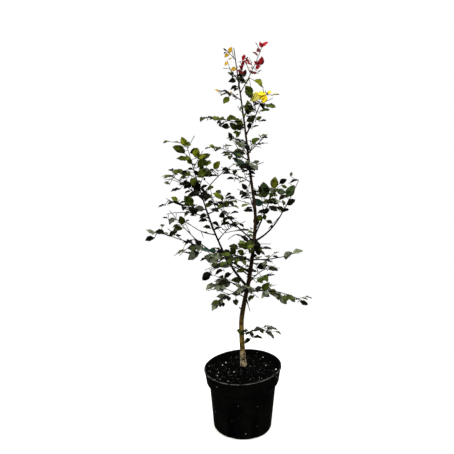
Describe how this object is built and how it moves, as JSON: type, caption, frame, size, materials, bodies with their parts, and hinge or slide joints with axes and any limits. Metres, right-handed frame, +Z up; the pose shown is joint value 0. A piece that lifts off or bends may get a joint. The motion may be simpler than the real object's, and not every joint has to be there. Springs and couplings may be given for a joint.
{
  "type": "potted european beech",
  "caption": "Young beech with ascending leafy boughs and red and gold young tips, growing in a round black nursery pot filled with potting mix.",
  "frame": {"origin": "middle of the pot's flat underside, which stands on the floor", "axes": "+Z up along the trunk, -Y the front of the plant, -X the side of its longest limbs"},
  "size_m": [0.6086, 0.4752, 1.4607],
  "materials": {
    "pot": "black moulded plastic, lightly scuffed",
    "soil": "dark bark and peat potting mix with white perlite",
    "bark": "thin smooth bark, olive tan and mottled",
    "leaf_green": "dark green leaf, semi-gloss",
    "leaf_grey": "grey green leaf, semi-gloss",
    "leaf_olive": "olive green leaf, semi-gloss",
    "leaf_dark": "very dark green leaf, semi-gloss",
    "leaf_gold": "young gold leaf, semi-gloss",
    "leaf_red": "young dark red leaf, semi-gloss"
  },
  "bodies": {
    "root": {"pot": "pot", "soil": "soil", "trunk": "bark", "bough_left_limb": "bark", "bough_left_arm": "bark", "bough_left_diagonal": "bark", "bough_front_left": "bark", "bough_back_left": "bark", "bough_right_limb": "bark", "bough_cross_limb": "bark", "bough_right_inner": "bark", "bough_right_top_limb": "bark", "bough_top_right": "bark", "bough_left_top_back": "bark", "bough_left_wing_high": "bark", "bough_left_wing_front": "bark", "bough_left_wing_mid": "bark", "bough_left_inner": "bark", "bough_left_inner_low": "bark", "bough_left_wing_low": "bark", "foliage_low_sprig": "leaf_green", "foliage_low_left": "leaf_grey", "foliage_low_right": "leaf_grey", "foliage_low_left_front": "leaf_grey", "foliage_left_limb": "leaf_olive", "foliage_low_right_back": "leaf_green", "foliage_low_back_left": "leaf_green", "foliage_left_arm": "leaf_grey", "foliage_left_diagonal": "leaf_green", "foliage_right_mid": "leaf_grey", "foliage_front_left": "leaf_green", "foliage_front_right": "leaf_green", "foliage_back_left": "leaf_green", "foliage_back_right": "leaf_green", "foliage_right_limb": "leaf_grey", "foliage_cross_limb": "leaf_green", "foliage_right_inner": "leaf_green", "foliage_mid_back": "leaf_green", "foliage_mid_left": "leaf_green", "foliage_mid_front": "leaf_grey", "foliage_mid_right": "leaf_grey", "foliage_upper_left": "leaf_green", "foliage_upper_back": "leaf_green", "foliage_upper_right": "leaf_olive", "foliage_high_left": "leaf_green", "foliage_right_top_limb": "leaf_olive", "foliage_high_left_wing": "leaf_olive", "foliage_high_front": "leaf_green", "foliage_top_left": "leaf_gold", "foliage_top_right": "leaf_red", "foliage_top_back": "leaf_red", "foliage_top_front": "leaf_olive", "foliage_leader_tip": "leaf_gold", "foliage_left_top_back": "leaf_olive", "foliage_left_wing_high": "leaf_olive", "foliage_left_wing_front": "leaf_dark", "foliage_left_wing_mid": "leaf_dark", "foliage_left_inner": "leaf_olive", "foliage_left_inner_low": "leaf_green", "foliage_left_wing_low": "leaf_dark"}
  },
  "joints": []
}
